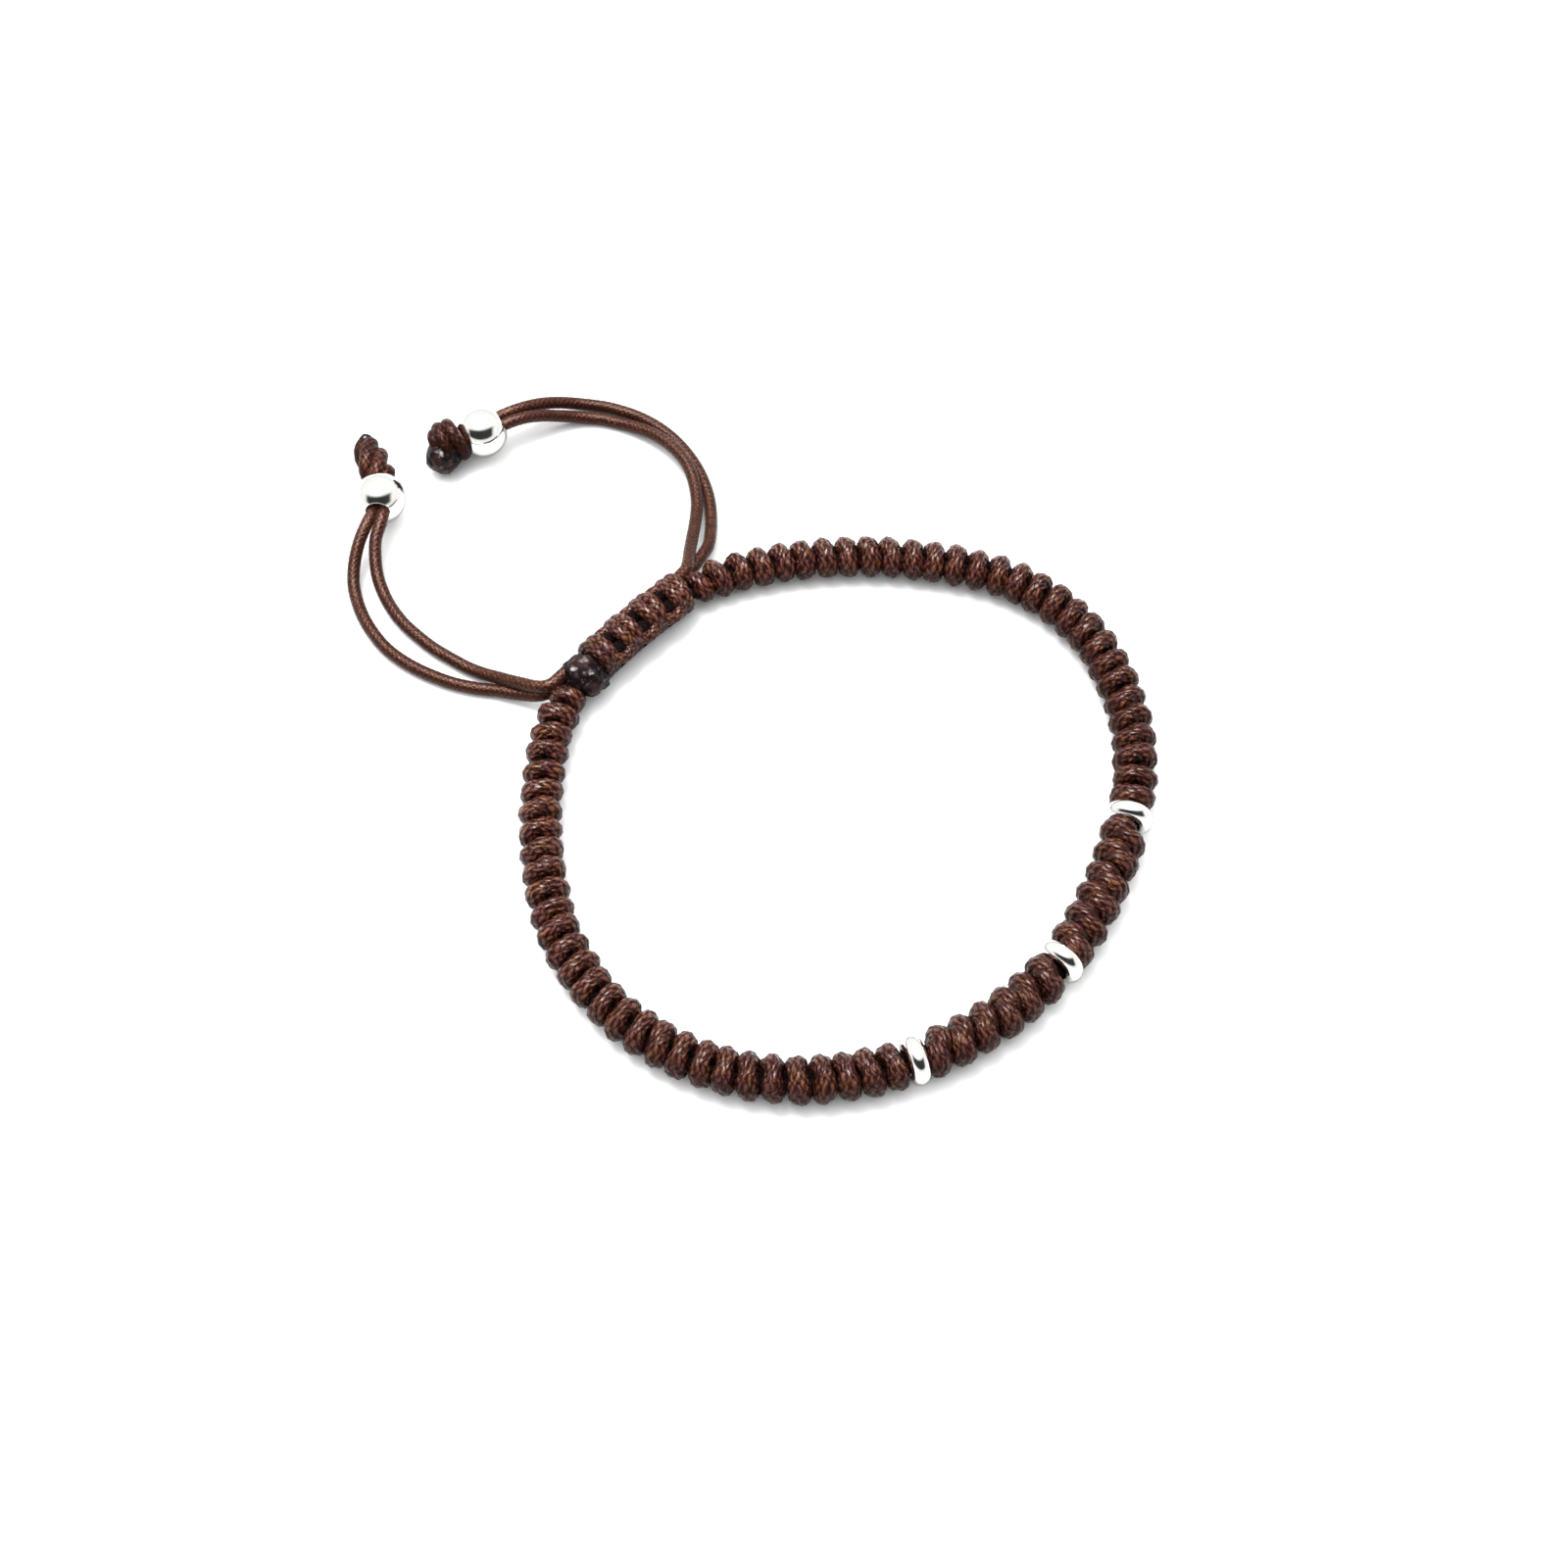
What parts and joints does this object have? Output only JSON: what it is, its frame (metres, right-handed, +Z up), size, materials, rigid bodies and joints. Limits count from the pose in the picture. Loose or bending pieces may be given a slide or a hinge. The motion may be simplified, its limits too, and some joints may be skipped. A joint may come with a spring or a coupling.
{
  "type": "rope bracelet",
  "caption": "Knotted waxed-cord bracelet with polished silver spacer rings, a sliding square knot and beaded tail cords that tighten it.",
  "frame": {"origin": "middle of the box round the loop, on the surface that the bracelet lies on; the four tail cords with their beads and end knots are left out of it", "axes": "+Z up through the loop, as the wrist would go; +Y towards the back of the loop; +X towards the side with the silver rings"},
  "size_m": [0.0769, 0.0772, 0.005],
  "materials": {
    "waxed_cord": "braided reddish brown cord with a semi-gloss wax",
    "core_cord": "braided dark brown cord with a semi-gloss wax",
    "melted_cord": "glassy purplish black where the cord ends were melted",
    "polished_silver": "mirror-polished silver"
  },
  "bodies": {
    "root": {"knotted_band_left": "waxed_cord", "knotted_band_front": "waxed_cord", "knotted_band_side": "waxed_cord", "knotted_band_back": "waxed_cord", "silver_ring_front": "polished_silver", "silver_ring_middle": "polished_silver", "silver_ring_side": "polished_silver", "core_cords_left_end": "core_cord", "core_cords_front": "core_cord", "core_cords_middle": "core_cord", "core_cords_side": "core_cord", "core_cords_back_end": "core_cord", "sliding_knot": "waxed_cord", "melted_end": "melted_cord", "tail_cord_left_outer": "waxed_cord", "tail_cord_left_inner": "waxed_cord", "tail_cord_back_outer": "waxed_cord", "tail_cord_back_inner": "waxed_cord", "end_bead_left": "polished_silver", "end_bead_back": "polished_silver", "end_knot_left": "waxed_cord", "end_knot_back": "waxed_cord"}
  },
  "joints": []
}
